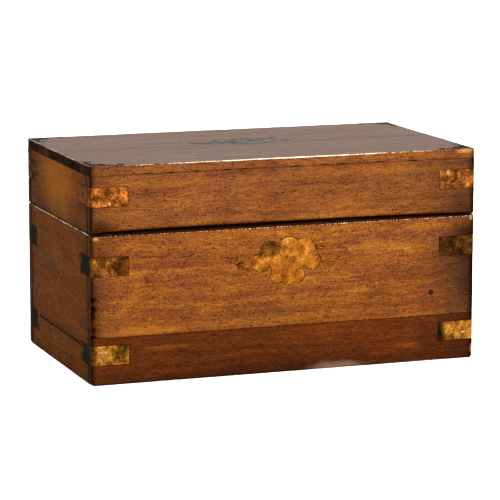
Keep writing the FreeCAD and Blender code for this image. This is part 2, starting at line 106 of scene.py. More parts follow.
def lattice(*axes):
    """Corners and quads of a closed box whose six sides are ruled by the lines given for each axis."""
    index, points, quads = {}, [], []

    def corner(place):
        if place not in index:
            index[place] = len(points)
            points.append(Vector(lines[i] for lines, i in zip(axes, place)))
        return index[place]

    for axis in range(3):
        u, v = (axis + 1) % 3, (axis + 2) % 3
        for end in (0, len(axes[axis]) - 1):
            for i in range(len(axes[u]) - 1):
                for j in range(len(axes[v]) - 1):
                    quad = []
                    for step_u, step_v in ((0, 0), (1, 0), (1, 1), (0, 1)):
                        place = [end, end, end]
                        place[u], place[v] = i + step_u, j + step_v
                        quad.append(corner(tuple(place)))
                    quads.append(quad if end else quad[::-1])
    return points, quads


def side_of(face):
    """Axis and direction of a face's name, such as 1 and -1 for y-."""
    return "xyz".index(face[0]), 1 if face[1] == "+" else -1


def depth_under(face, at, low, high):
    """How far a point lies under one face of a board."""
    axis, side = side_of(face)
    return at[axis] - low[axis] if side < 0 else high[axis] - at[axis]


def wear_edge(point, at, low, high, faces, radius):
    """Round the edge between two faces, moving points near it onto an arc.

    Its radius wavers over 60 mm and over 13 mm, and chips about 17 mm long deepen it in places.
    """
    depth_a, depth_b = (depth_under(face, point, low, high) for face in faces)
    if max(depth_a, depth_b) > 3 * radius:
        return
    waver = 1 + 0.35 * noise.noise(at * 16) + 0.25 * noise.noise(at * 75)
    chip = 4 * max(0, noise.noise(at * 60 + Vector((7, 3, 5))) - 0.36)
    worn = min(radius * (waver + chip), MOST_WEAR)
    reach_a, reach_b = worn - depth_a, worn - depth_b
    if reach_a <= 0 or reach_b <= 0:
        return
    pull = max(reach_a, reach_b) / math.hypot(reach_a, reach_b) - 1
    for face, reach in zip(faces, (reach_a, reach_b)):
        axis, side = side_of(face)
        point[axis] += side * reach * pull


def plane_marks(point, at, low, high, faces):
    """Shallow hollows that a hand plane leaves along a board, always inwards of its true face.

    They are some 170 mm long and 35 mm wide, with finer ones of 22 mm between them.
    """
    for face in faces:
        if depth_under(face, at, low, high) < 0.01 * MM:
            axis, side = side_of(face)
            hollow = 0.30 + 0.22 * noise.noise(Vector((at.x * 6, at.y * 6, at.z * 28)))
            hollow += 0.16 * noise.noise(at * 45)
            point[axis] -= side * max(0.05, hollow) * MM


def board_shape(low, high, edges, planed=(), knocks=(), lift=None, step=5.5 * MM):
    """Board between two corners: worn edges, recesses for the straps, and the places it was knocked."""
    rulings = []
    for axis in range(3):
        marks = {s[0][axis] - STRAP_GAP for s in STRAP_BOXES} | {s[1][axis] + STRAP_GAP for s in STRAP_BOXES}
        inside = [m for m in marks if low[axis] + 3 * MM < m < high[axis] - 3 * MM]
        spacing = step if high[axis] - low[axis] > 0.4 else 1.7 * step
        rulings.append(ruling(low[axis], high[axis], spacing, sorted(inside)))
    points, quads = lattice(*rulings)
    middle = (low + high) / 2
    for point in points:
        at = point.copy()
        for faces, radius in edges.items():
            wear_edge(point, at, low, high, faces, radius)
        plane_marks(point, at, low, high, planed)
        for centre, reach, depth in knocks:
            near = 1 - (at - Vector(centre)).length / reach
            if near > 0:
                jagged = 0.55 + 0.45 * noise.noise(at * 190) + 0.3 * noise.noise(at * 420)
                inward = Vector((math.copysign(1, middle.x - at.x), math.copysign(1, middle.y - at.y), 0))
                point += inward * depth * min(1, near * 1.6) * max(0, jagged)
        if lift:
            point += lift(at)
        for strap_low, strap_high in STRAP_BOXES:
            if all(strap_low[i] - STRAP_GAP <= at[i] <= strap_high[i] + STRAP_GAP for i in range(3)):
                floor_x, floor_y = OUT_X - STRAP_THICKNESS, OUT_Y - STRAP_THICKNESS
                point.x = max(-floor_x, min(floor_x, point.x))
                point.y = max(-floor_y, min(floor_y, point.y))
    return points, quads


def make_mesh(name, points, faces):
    """Mesh with its faces turned outwards, smooth but for its sharp edges."""
    mesh = bpy.data.meshes.new(name)
    mesh.from_pydata(points, [], faces)
    shell = bmesh.new()
    shell.from_mesh(mesh)
    bmesh.ops.recalc_face_normals(shell, faces=shell.faces)
    shell.to_mesh(mesh)
    shell.free()
    mesh.shade_smooth()
    mesh.set_sharp_from_angle(angle=SHARP_ANGLE)
    return mesh


def add_piece(name, mesh, body, node, material):
    """Put a mesh in the scene: it rides on a body and stands for a node of the model."""
    mesh.materials.append(material)
    piece = bpy.data.objects.new(name, mesh)
    bpy.context.scene.collection.objects.link(piece)
    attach(piece, body)
    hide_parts(node)
    return piece


def let_in(mesh, plate):
    """Cut the recess that a plate of inlay lies in."""
    board = bpy.data.objects.new("board", mesh)
    cutter = bpy.data.objects.new("cutter", plate)
    for thing in (board, cutter):
        bpy.context.scene.collection.objects.link(thing)
    cut = board.modifiers.new("recess", "BOOLEAN")
    cut.object, cut.operation, cut.solver = cutter, "DIFFERENCE", "EXACT"
    bpy.context.view_layer.update()
    evaluated = board.evaluated_get(bpy.context.evaluated_depsgraph_get())
    result = bpy.data.meshes.new_from_object(evaluated)
    for thing in (board, cutter):
        bpy.data.objects.remove(thing)
    result.set_sharp_from_angle(angle=SHARP_ANGLE)
    return result


def stain(piece, name, spots, edges=(), low=None, high=None):
    """Store how strongly each point is stained: near some spots, and near some edges of the board."""
    layer = piece.data.attributes.new(name, "FLOAT", "POINT")
    values = []
    for vertex in piece.data.vertices:
        amount = 0
        for centre, reach, strength in spots:
            off = sum(((p - c) / r) ** 2 for p, c, r in zip(vertex.co, centre, reach))
            if off < 9:
                amount = max(amount, strength * math.exp(-off))
        for faces, reach, strength in edges:
            depth = math.sqrt(sum(max(0, depth_under(f, vertex.co, low, high)) ** 2 for f in faces))
            amount = max(amount, strength * math.exp(-depth / reach))
        values.append(amount)
    layer.data.foreach_set("value", values)


def colour(hex_code):
    """Linear colour of an sRGB hex code."""
    parts = [int(hex_code[i:i + 2], 16) / 255 for i in (1, 3, 5)]
    linear = [c / 12.92 if c <= 0.04045 else ((c + 0.055) / 1.055) ** 2.4 for c in parts]
    return (*linear, 1)


def plug(tree, node, inputs):
    """Give a node its inputs. Each is a value or another node's output."""
    for key, value in inputs.items() if isinstance(inputs, dict) else enumerate(inputs):
        if isinstance(value, bpy.types.NodeSocket):
            tree.links.new(value, node.inputs[key])
        else:
            node.inputs[key].default_value = value


def add(tree, kind, inputs, stops=(), out=0, **settings):
    """Add a node with its settings and links, and give one of its outputs."""
    node = tree.nodes.new("ShaderNode" + kind)
    for name, value in settings.items():
        setattr(node, name, value)
    plug(tree, node, inputs)
    for number, (position, shade) in enumerate(stops):
        ramp = node.color_ramp.elements
        element = ramp[number] if number < 2 else ramp.new(position)
        element.position = position
        element.color = colour(shade)
    return node.outputs[out]


def start_material(name):
    """New material, its node tree and its shader."""
    material = bpy.data.materials.new(name)
    material.use_nodes = True
    return material, material.node_tree, material.node_tree.nodes["Principled BSDF"]


def scattered(tree, spot, apart, core, rim, strength, first, last):
    """Small round marks about so far apart, each there or not by chance."""
    cells = add(tree, "TexVoronoi", {"Vector": spot, "Scale": 1 / apart})
    mark = add(tree, "MapRange", [cells, core, rim, strength, 0.0])
    chosen = add(tree, "MapRange", [cells.node.outputs["Color"], first, last])
    return add(tree, "Math", [mark, chosen], operation="MULTIPLY")


def waxed_mahogany(name, shades, grain_turn, seed, sheen=0.12, rough=0.42, dust=1.0, cloud=0.28, knot=None,
                   cracks=()):
    """Mahogany, planed by hand, stained and waxed: clouds, long streaks of figure, short fibres and pores.

    The eye gets a satin gloss that dies in dirt, pale dust in the open grain, and edges that are dark with
    dirt or worn to bare wood. Along the gap under the lid the dark is partly painted shade, some worn edges
    carry a near-white painted highlight, and pale specks are painted highlights on the rims of pits. Pores
    are really 0.2 mm wide, and grit and dust finer still: all are drawn 2 to 3 mm wide, as coarse as they
    need to show.
    """
    material, tree, shader = start_material(name)
    place = add(tree, "TexCoord", {}, out="Object")
    spot = add(tree, "Mapping", {"Vector": place, "Rotation": (0, 0, grain_turn), "Location": seed})
    bend = add(tree, "TexNoise", {"Vector": spot, "Scale": 1 / (140 * MM), "Detail": 3.0}, out="Color")
    bend = add(tree, "VectorMath", [bend, (0.5, 0.5, 0.5)], operation="SUBTRACT")
    bent = add(tree, "VectorMath", [bend, (0.03, 0.03, 0.03), spot], operation="MULTIPLY_ADD")

    def streaks(along_mm, across_mm, detail):
        """Noise drawn out along the grain."""
        scale = (1000 / along_mm, 1000 / across_mm, 1000 / across_mm)
        stretched = add(tree, "VectorMath", [bent, scale], operation="MULTIPLY")
        return add(tree, "TexNoise", {"Vector": stretched, "Scale": 1.0, "Detail": detail})

    clouds = streaks(120, 42, 4.0)
    figure = streaks(420, 13, 5.0)
    fibres = streaks(26, 3.2, 3.0)
    pores = streaks(11, 2.0, 2.0)
    grit = add(tree, "TexNoise", {"Vector": spot, "Scale": 1 / (3 * MM), "Detail": 3.0})
    patches = add(tree, "TexNoise", {"Vector": spot, "Scale": 1 / (90 * MM), "Detail": 3.0})
    mixed = add(tree, "Math", [clouds, cloud], operation="MULTIPLY")
    for layer, weight in ((figure, 0.31), (fibres, 0.30), (grit, 0.39)):
        mixed = add(tree, "Math", [layer, weight, mixed], operation="MULTIPLY_ADD")
    stops = [(0.50 + cloud / 2 + off, shade) for off, shade in zip((-0.21, 0.21, -0.10, 0.0, 0.10), shades)]
    wood = add(tree, "ValToRGB", {"Fac": mixed}, stops=stops)

    def ragged(attribute, low, high, texture=fibres, weight=0.35):
        """A stain whose edge follows a texture and the patches."""
        level = add(tree, "Attribute", {}, out="Fac", attribute_name=attribute)
        level = add(tree, "Math", [texture, weight, level], operation="MULTIPLY_ADD")
        level = add(tree, "Math", [patches, 0.35, level], operation="MULTIPLY_ADD")
        return add(tree, "MapRange", [level, low, high])

    # Dark with dirt, and beside the gap under the lid with painted shade too; it also dulls the gloss
    dirt_and_gap_shade = ragged("dark", 0.5, 1.3)
    dusty = add(tree, "MapRange", [patches, 0.44, 0.64])
    veil = add(tree, "TexNoise", {"Vector": spot, "Scale": 1 / (2.1 * MM), "Detail": 2.0})
    veil = add(tree, "MapRange", [veil, 0.55, 0.70, 0.0, 0.55 * dust])
    pits = scattered(tree, spot, 9 * MM, 0.08, 0.25, 0.75, 0.62, 0.66)
    # Pale specks in the dusty patches: painted highlights on the rims of pits
    glint_specks = scattered(tree, spot, 6.5 * MM, 0.05, 0.22, 0.6 * dust, 0.74, 0.84)

    # Laid over the wood in turn: wax in the pores, a broad darker tone, golden figure, dust, dirt with
    # painted shade along the gap under the lid, bare wood, scuffs, worn edges under a near-white painted
    # highlight, cracks, the knot's ring and heart, pits, and pale specks that are painted highlights on the
    # rims of pits
    layers = [(add(tree, "MapRange", [pores, 0.57, 0.66, 0.0, 0.65]), "#1c0a04"),
              (add(tree, "Attribute", {}, out="Fac", attribute_name="deep"), "#281204"),
              (ragged("gold", 0.55, 1.25), "#8a5a18"),
              (add(tree, "Math", [veil, dusty], operation="MULTIPLY"), "#8a6640"),
              (dirt_and_gap_shade, "#0d0704"),
              (ragged("bare", 0.72, 1.15), "#98703c"),
              (ragged("scuffed", 0.5, 1.3), "#86705f"),
              # near-white: worn wood under a painted highlight
              (ragged("worn_highlight", 1.0, 1.35, grit, 1.1), "#e0d4c0")]
    for start, end in cracks:
        wander = add(tree, "TexNoise", {"Vector": place, "Scale": 1 / (17 * MM), "Detail": 4.0}, out="Color")
        wander = add(tree, "VectorMath", [wander, (0.5, 0.5, 0.5)], operation="SUBTRACT")
        reached = add(tree, "VectorMath", [wander, (0.018, 0, 0.018), place], operation="MULTIPLY_ADD")
        reached = add(tree, "VectorMath", [reached, start], operation="SUBTRACT")
        length = math.dist(start, end)
        heading = [(e - s) / length for s, e in zip(start, end)]
        share = add(tree, "VectorMath", [reached, heading], out="Value", operation="DOT_PRODUCT")
        held = add(tree, "MapRange", [share, 0.0, length, 0.0, length])
        nearest = add(tree, "VectorMath", {0: heading, "Scale": held}, operation="SCALE")
        far = add(tree, "VectorMath", [reached, nearest], out="Value", operation="DISTANCE")
        layers.append((add(tree, "MapRange", [far, 0.5 * MM, 1.7 * MM, 0.85, 0.0]), "#120805"))
    if knot:
        far = add(tree, "VectorMath", [place, knot], out="Value", operation="DISTANCE")
        ring = add(tree, "Math", [far, 5 * MM], operation="SUBTRACT")
        ring = add(tree, "Math", [ring], operation="ABSOLUTE")
        layers += [(add(tree, "MapRange", [ring, 0.8 * MM, 2.2 * MM, 0.95, 0.0]), "#0a0302"),
                   (add(tree, "MapRange", [far, 3.5 * MM, 4.5 * MM, 0.8, 0.0]), "#1d0a05")]
    layers += [(pits, "#0f0603"), (add(tree, "Math", [glint_specks, dusty], operation="MULTIPLY"), "#b0906c")]
    for amount, shade in layers:
        wood = add(tree, "Mix", {0: amount, 6: wood, 7: colour(shade)}, out=2, data_type="RGBA")

    height = add(tree, "Math", [fibres, 0.4, pores], operation="MULTIPLY_ADD")
    height = add(tree, "Math", [grit, 0.5, height], operation="MULTIPLY_ADD")
    height = add(tree, "Math", [pits, -2.0, height], operation="MULTIPLY_ADD")
    bump = add(tree, "Bump", {"Height": height, "Strength": 0.6, "Distance": 0.6 * MM})
    dull = add(tree, "MapRange", [figure, 0.3, 0.7, rough - 0.07, rough + 0.08])
    plug(tree, shader, {"Base Color": wood, "IOR": 1.5, "Normal": bump,
                        "Roughness": add(tree, "Math", [dirt_and_gap_shade, 0.3, dull], operation="MULTIPLY_ADD"),
                        "Specular IOR Level": add(tree, "MapRange", [dirt_and_gap_shade, 0.0, 0.6, sheen, 0.02])})
    return material


# Golden brown with a knot and fine cracks in front, redder and darker at the foot, and dull at the ends,
# where the wax has gone. Each list of shades runs darkest, lightest, then the three between.
FRONT_CRACKS = [((x, -OUT_Y, z), (end_x, -OUT_Y, end_z)) for x, z, end_x, end_z in
                ((-0.335, 0.276, -0.270, 0.279), (-0.262, 0.272, -0.215, 0.276),
                 (-0.154, 0.262, -0.128, 0.266), (0.010, 0.186, 0.018, 0.194))]
front_wood = waxed_mahogany("waxed mahogany, front", ("#321303", "#936b20", "#572c08", "#6c3e0c", "#805112"),
                            0, (0.3, 0.1, 0.7), cloud=0.24, knot=(0.346, -OUT_Y, 0.157), cracks=FRONT_CRACKS)
lower_wood = waxed_mahogany("waxed mahogany, lower board",
                            ("#260f02", "#6c410c", "#421e05", "#4e2807", "#5c3009"), 0, (1.3, 0.4, 0.2),
                            sheen=0.06, dust=0.4)
side_wood = waxed_mahogany("waxed mahogany, ends", ("#1b1304", "#82500f", "#452709", "#5c3506", "#71410a"),
                           math.pi / 2, (0.2, 0.9, 0.5), sheen=0.035, rough=0.65, dust=0.35, cloud=0.14)


def finish_board(node, body, mesh, low, high, material, stains):
    """Put a board in place, with its stains in spots and along its edges."""
    piece = add_piece(f"worn_{node}", mesh, body, node, material)
    for kind in ("dark", "gold", "deep", "worn_highlight", "scuffed", "bare"):
        stain(piece, kind, stains.get(kind, ()), stains.get(f"{kind}_edges", ()), low, high)
    return piece


def outline_plate(name, shape, span_u, span_v, step, top, seat, place):
    """Closed plate inside an outline: the shape's distance is below 0 there, and top gives its height."""
    count_u, count_v = (round((span[1] - span[0]) / step) for span in (span_u, span_v))
    reach = {(i, j): shape(span_u[0] + i * step, span_v[0] + j * step)
             for i in range(count_u + 1) for j in range(count_v + 1)}
    index, flat, tops, rims = {}, [], [], []

    def corner(key, i, j, inside):
        if key not in index:
            index[key] = len(flat)
            flat.append((span_u[0] + i * step, span_v[0] + j * step, inside))
        return index[key]

    for i in range(count_u):
        for j in range(count_v):
            ring = [(i, j), (i + 1, j), (i + 1, j + 1), (i, j + 1)]
            walk = []
            for a, b in zip(ring, ring[1:] + ring[:1]):
                if reach[a] < 0:
                    walk.append((corner(a, a[0], a[1], -reach[a]), False))
                if (reach[a] < 0) != (reach[b] < 0):
                    first, last = sorted((a, b))
                    share = min(0.9, max(0.1, reach[first] / (reach[first] - reach[last])))
                    across = [f + (l - f) * share for f, l in zip(first, last)]
                    walk.append((corner((first, last), across[0], across[1], 0), True))
            if len(walk) > 2:
                tops.append([point for point, cut in walk])
                for (p, cut_p), (q, cut_q) in zip(walk, walk[1:] + walk[:1]):
                    if cut_p and cut_q:
                        rims.append((p, q))
    count = len(flat)
    points = [place(u, v, top(u, v, inside)) for u, v, inside in flat]
    points += [place(u, v, seat) for u, v, inside in flat]
    faces = tops + [[p + count for p in reversed(face)] for face in tops]
    faces += [[q, p, p + count, q + count] for p, q in rims]
    return make_mesh(name, points, faces)


# Cartouche: discs as x, y and radius in mm from its middle, then the rings that end its scrolls, each
# with half the width of its line
LOBES = [(0, 1, 42), (6, 26, 24), (2, -44, 14), (42, 21, 25), (-40, 20, 24), (58, -4, 21), (-61, -3, 21),
         (25, -36, 17), (-22, -34, 17)]
SCROLLS = [(81, 29, 7.2, 1.5), (103, -12, 7.2, 1.5), (-121, 10, 4.5, 1.6), (-107, -8, 8, 1.5),
           (-90, -14, 5.5, 1.5)]
CARTOUCHE_SPAN = ((-0.130, 0.130), (-0.068, 0.066))
FRONT_CARTOUCHE_Z = 0.252
INLAY = 2 * MM
INLAY_GAP = 0.7 * MM


def cartouche(u, v):
    """Signed distance to the outline of the cartouche, in metres from its middle."""
    x, y = u / MM, v / MM
    inside = min(math.hypot(x - a, y - b) - r for a, b, r in LOBES)
    leaf = max(math.hypot(abs(x) - 94.7, y - 37) - 47.9, 76.8 - math.hypot(abs(x) - 90.9, y - 69))
    rings = min(abs(math.hypot(x - a, y - b) - r) - w for a, b, r, w in SCROLLS)
    return min(inside, leaf, rings) * MM


def on_front(u, v, w):
    """Place on the front for a point of the front cartouche, w above its seat."""
    return Vector((u, -OUT_Y + INLAY - w, FRONT_CARTOUCHE_Z + v))


def recess_for(shape, span, step, place):
    """Cutter for a recess a little larger than its inlay."""
    return outline_plate("recess", lambda u, v: shape(u, v) - INLAY_GAP, *span, step,
                         lambda u, v, inside: INLAY + MM, -0.1 * MM, place)


def prism(profile, low_x, high_x):
    """Points and faces of a bar along X, from the Y and Z of its corners."""
    points = [Vector((x, y, z)) for x in (low_x, high_x) for y, z in profile]
    count = len(profile)
    faces = [[i, (i + 1) % count, (i + 1) % count + count, i + count] for i in range(count)]
    return points, faces + [list(range(count))[::-1], list(range(count, 2 * count))]


def gather(parts):
    """Points and faces of several shapes as one."""
    points, faces = [], []
    for some_points, some_faces in parts:
        faces += [[i + len(points) for i in face] for face in some_faces]
        points += some_points
    return points, faces


# Hinges: their axis, coves for the knuckles, seats for the leaves, and the bevel that stops the open lid
HINGE_Y, HINGE_Z = 0.2485, 0.33025
HINGE_PLACES = (-0.3, 0.3)
HINGE_HALF = 38 * MM
COVE_RADIUS, COVE_TURN = 5 * MM, 2.66
LEAF_REACH = 15.3 * MM
SEAT_OVERRUN = 1.2 * MM
BEVEL_START, BEVEL_RISE, BEVEL_REACH = 0.2 * MM, 0.25 * MM, 6.3 * MM
BEVEL_ANGLE = math.radians(50.5)


def hinge_seat(way):
    """Cutters for the leaves of both hinges and for the bevel behind them, below or above the axis."""
    cove = [(HINGE_Y + COVE_RADIUS * math.cos(angle), HINGE_Z + way * COVE_RADIUS * math.sin(angle))
            for angle in [COVE_TURN * (1 - i / 14) for i in range(15)]]
    front, open_z = HINGE_Y - LEAF_REACH, HINGE_Z - way * SEAT_OVERRUN
    profile = [(front, open_z), (front, cove[0][1]), *cove, (HINGE_Y + COVE_RADIUS, open_z)]
    seats = gather([prism(profile, x - HINGE_HALF, x + HINGE_HALF) for x in HINGE_PLACES])
    near_y, far_y = HINGE_Y + BEVEL_START, HINGE_Y + BEVEL_START + BEVEL_REACH
    bevel = [(near_y, HINGE_Z + way * BEVEL_RISE),
             (far_y, HINGE_Z + way * (BEVEL_RISE + BEVEL_REACH * math.tan(BEVEL_ANGLE))),
             (far_y, open_z), (near_y, open_z)]
    return [make_mesh("bevel", *prism(bevel, -OUT_X - 0.01, OUT_X + 0.01)), make_mesh("seats", *seats)]


def at_ends(face, radius):
    """The same wear on a face's edges at both ends of a long board."""
    return {(LEFT, face): radius, (RIGHT, face): radius}


def long_board(node, side, low_z, high_z, edges, body, material, stains, knocks=(), lift=None, cutters=()):
    """Board across the whole front or back."""
    face, inner = (FRONT, BACK) if side < 0 else (BACK, FRONT)
    y = sorted((side * IN_Y, side * OUT_Y))
    low, high = Vector((-OUT_X, y[0], low_z)), Vector((OUT_X, y[1], high_z))
    points, quads = board_shape(low, high, {**at_ends(face, CORNER_WEAR), **edges}, (face,), knocks, lift)
    mesh = make_mesh(f"worn_{node}", points, quads)
    for cutter in cutters:
        mesh = let_in(mesh, cutter)
    # Dark at the corners, the ends and the top and bottom edges: dirt, and where an edge meets the gap under
    # the lid, painted shade too
    edge_grime_and_gap_shade = [((LEFT, face), 7 * MM, 1.0), ((RIGHT, face), 10 * MM, 1.15), ((LEFT,), 1.5 * MM, 0.55),
             ((RIGHT,), 1.5 * MM, 0.8), ((face, TOP), 2 * MM, 0.5), ((face, UNDER), 2 * MM, 0.8)]
    stains = {"deep_edges": [((inner,), 2 * MM, 0.6), ((LEFT,), 2 * MM, 0.5)], **stains,
              "dark_edges": edge_grime_and_gap_shade + stains.get("dark_edges", [])}
    finish_board(node, body, mesh, low, high, material, stains)


def short_board(node, side, low_z, high_z, top_wear, under_wear, body, stains):
    """Board across an end, between the long walls."""
    face, inner = (LEFT, RIGHT) if side < 0 else (RIGHT, LEFT)
    x = sorted((side * IN_X, side * OUT_X))
    low, high = Vector((x[0], -IN_Y, low_z)), Vector((x[1], IN_Y, high_z))
    edges = {(face, TOP): top_wear, (face, UNDER): under_wear, (face, FRONT): SEAM_WEAR,
             (face, BACK): SEAM_WEAR}
    points, quads = board_shape(low, high, edges, (face,))
    centre = (side * OUT_X, 0, (low_z + high_z) / 2 + 0.02)
    stains = {"gold": [(centre, (0.008, 0.17, 0.10), 0.6 if low_z > RIM else 0.25)],
              "dark_edges": [((face, FRONT), 5 * MM, 1.1), ((face, BACK), 5 * MM, 1.1),
                             ((face, TOP), 2 * MM, 0.8), ((face, UNDER), 3 * MM, 0.9)],
              "deep_edges": [((face, FRONT), 30 * MM, 0.6), ((face, BACK), 30 * MM, 0.6),
                             ((face, UNDER), 20 * MM, 0.5), ((inner,), 2 * MM, 0.6)], **stains}
    finish_board(node, body, make_mesh(f"worn_{node}", points, quads), low, high, side_wood, stains)


def front_spots(depth, *spots):
    """Spots on the front, each given by x, z, its reach along x, its reach along z, and its strength."""
    return [((x, -OUT_Y, z), (across, depth, along), strength) for x, z, across, along, strength in spots]


# Dark knocks lie down the left corner, where the wood has splintered away
CORNER_CHIPS = [(-0.45, z, 0.013, reach, 1.35) for z, reach in
                ((0.188, 0.006), (0.170, 0.005), (0.155, 0.008), (0.136, 0.005), (0.122, 0.008),
                 (0.108, 0.004))]
CORNER_KNOCKS = [((-OUT_X, -OUT_Y, z), reach, depth) for z, reach, depth in
                 ((0.188, 0.016, 6 * MM), (0.158, 0.022, 8 * MM), (0.125, 0.020, 8 * MM))]
FRONT_UPPER_STAINS = {
    "dark": front_spots(0.05, (-0.45, 0.30, 0.10, 0.03, 0.3), (0.445, 0.27, 0.05, 0.05, 0.65),
                        (0.43, 0.17, 0.035, 0.04, 0.3))
    + front_spots(0.01, (-0.45, 0.150, 0.006, 0.045, 1.2)) + front_spots(0.013, *CORNER_CHIPS),
    "deep": front_spots(0.05, (0.46, 0.20, 0.10, 0.20, 0.95), (0.215, 0.165, 0.03, 0.015, 0.45),
                        (-0.07, 0.137, 0.10, 0.018, 0.35), (-0.45, 0.2, 0.05, 0.20, 0.55)),
    "gold": front_spots(0.05, (-0.33, 0.115, 0.10, 0.012, 0.65), (0.12, 0.125, 0.13, 0.012, 0.4),
                        (-0.02, 0.17, 0.08, 0.012, 0.3), (0.12, 0.205, 0.10, 0.010, 0.4),
                        (0.20, 0.27, 0.10, 0.025, 0.35)),
    "bare": front_spots(0.02, (-0.438, 0.322, 0.010, 0.007, 0.8), (0.442, 0.322, 0.007, 0.010, 0.8)),
    # painted highlight over worn wood, along the rim's front edge and down the left corner
    "worn_highlight": front_spots(0.003, (0, 0.3262, 5, 0.0013, 0.36))
    + front_spots(0.002, (-0.4495, 0.25, 0.0012, 0.09, 0.6)),
    # painted shade of the gap under the lid, with dirt, along the rim's top edge
    "dark_edges": [((FRONT, TOP), 4 * MM, 1.2)],
}
FRONT_LOWER_STAINS = {
    "deep": front_spots(0.05, (0.45, 0.05, 0.10, 0.20, 0.5), (0, 0.008, 0.5, 0.022, 0.6)),
    "gold": front_spots(0.05, (0.29, 0.040, 0.05, 0.006, 0.45), (-0.25, 0.075, 0.12, 0.010, 0.35)),
    "bare": front_spots(0.02, (0.447, 0.02, 0.006, 0.02, 0.7)),
    "scuffed": front_spots(0.02, (0.115, 0.004, 0.075, 0.014, 0.6), (0.32, 0, 0.12, 0.004, 0.5)),
    "dark_edges": [((FRONT, UNDER), 4 * MM, 0.9)],
}
# Worn edges, stains, knocks and recesses of the upper boards. The back's is cut for the hinges.
UPPER_BOARDS = {
    "front": ({(FRONT, TOP): RIM_WEAR, **at_ends(TOP, RIM_WEAR), (FRONT, UNDER): SEAM_WEAR,
               (BACK, TOP): INSIDE_WEAR}, FRONT_UPPER_STAINS, CORNER_KNOCKS,
              [recess_for(cartouche, CARTOUCHE_SPAN, 1.6 * MM, on_front)]),
    "back": ({(BACK, UNDER): SEAM_WEAR, **at_ends(TOP, RIM_WEAR), (FRONT, TOP): INSIDE_WEAR}, {}, (),
             hinge_seat(-1))}
for side, wall, face, stains in ((-1, "front", FRONT, FRONT_LOWER_STAINS), (1, "back", BACK, {})):
    edges, upper_stains, knocks, cutters = UPPER_BOARDS[wall]
    long_board(f"{wall}_upper_board", side, FRONT_SEAM, RIM, edges, "chest", front_wood, upper_stains, knocks,
               cutters=cutters)
    long_board(f"{wall}_lower_board", side, 0, FRONT_SEAM,
               {(face, TOP): SEAM_WEAR, (face, UNDER): FOOT_WEAR, **at_ends(UNDER, END_WEAR)},
               "chest", lower_wood, stains)
for side, end, face in ((-1, "left", LEFT), (1, "right", RIGHT)):
    # Worn wood along the rim, with a near-white painted highlight on it
    worn_rim_and_highlight = [((side * (OUT_X - 1.5 * MM), 0, RIM - 1.5 * MM), (0.003, 0.5, 0.0025), 0.42)]
    short_board(f"{end}_upper_board", side, SIDE_SEAM, RIM, RIM_WEAR, SEAM_WEAR, "chest",
                {"bare_edges": [((face, TOP), 3 * MM, 0.9)], "worn_highlight": worn_rim_and_highlight})
    short_board(f"{end}_lower_board", side, 0, SIDE_SEAM, SEAM_WEAR, FOOT_WEAR, "chest", {})

# ---------------- dust lips
# Thin strips of the same wood, stained almost black, glued inside the front and the ends of the base.
# They stand above the rim and close the gap under the lid. Their near-black is partly painted shade, so
# that the gap under the lid reads dark.
lip_wood_gap_shade = waxed_mahogany("mahogany stained black, with gap shade", ("#070403", "#21130a", "#0f0805", "#140b06", "#1a0e08"),
                          0, (1.1, 1.2, 0.6), sheen=0.04, rough=0.7, dust=0.3)
LIP_CLEARANCE = 0.8 * MM
LIP_WEAR = 1.2 * MM
for node, outer in (("front_lip", FRONT), ("left_lip", LEFT), ("right_lip", RIGHT)):
    axis, side = side_of(outer)
    low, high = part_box(node)

    def clear_lid(at):
        """Set the strip's outer face back where it stands above the rim."""
        push = Vector((0, 0, 0))
        if at.z > RIM and depth_under(outer, at, low, high) < 0.1 * MM:
            push[axis] = -side * LIP_CLEARANCE
        return push

    edges = {(face, TOP): LIP_WEAR for face in ((LEFT, RIGHT), (FRONT, BACK))[axis]}
    points, quads = board_shape(low, high, edges, lift=clear_lid, step=9 * MM)
    add_piece(f"dark_{node}", make_mesh(node, points, quads), "chest", node, lip_wood_gap_shade)

# ---------------- bottom of the base
# Three plain planed boards nailed up under the walls' inner edges, left without stain or wax. The
# nails are cut from iron plate, with small square heads.
plain_wood = waxed_mahogany("bare planed boards", ("#2a1a0f", "#7d5a3a", "#4a3220", "#5c4029", "#6c4c31"), 0,
                            (2.1, 0.3, 0.4), sheen=0.1, rough=0.75, dust=0.5)


def solids_of(node):
    """Boxes round the separate solids of a node of the model."""
    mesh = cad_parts[node].data
    keys = [tuple(round(c * 1e5) for c in vertex.co) for vertex in mesh.vertices]
    owner = {key: key for key in keys}

    def find(key):
        while owner[key] != key:
            key = owner[key]
        return key

    for edge in mesh.edges:
        owner[find(keys[edge.vertices[0]])] = find(keys[edge.vertices[1]])
    groups = {}
    for key, vertex in zip(keys, mesh.vertices):
        groups.setdefault(find(key), []).append(vertex.co)
    return [(Vector(map(min, zip(*group))), Vector(map(max, zip(*group)))) for group in groups.values()]


def dome(centre, outward, radius, rise, sides=20):
    """Points and faces of a low head, with a stem that reaches into what it holds."""
    turn = outward.to_track_quat("Z", "Y").to_matrix()
    points, faces = [], []
    for share, drop in ((1.0, -1.2), (1.0, 0.0), (0.93, 0.35), (0.75, 0.7), (0.4, 0.95)):
        height = drop * MM if drop < 0 else drop * rise
        for i in range(sides):
            angle = 2 * math.pi * (i + 0.5) / sides
            offset = Vector((math.cos(angle) * radius * share, math.sin(angle) * radius * share, height))
            points.append(centre + turn @ offset)
    points.append(centre + turn @ Vector((0, 0, rise)))
    for ring in range(4):
        for i in range(sides):
            a, b = ring * sides + i, ring * sides + (i + 1) % sides
            faces.append([a, b, b + sides, a + sides])
    faces += [[4 * sides + i, 4 * sides + (i + 1) % sides, 5 * sides] for i in range(sides)]
    faces.append(list(range(sides))[::-1])
    return points, faces


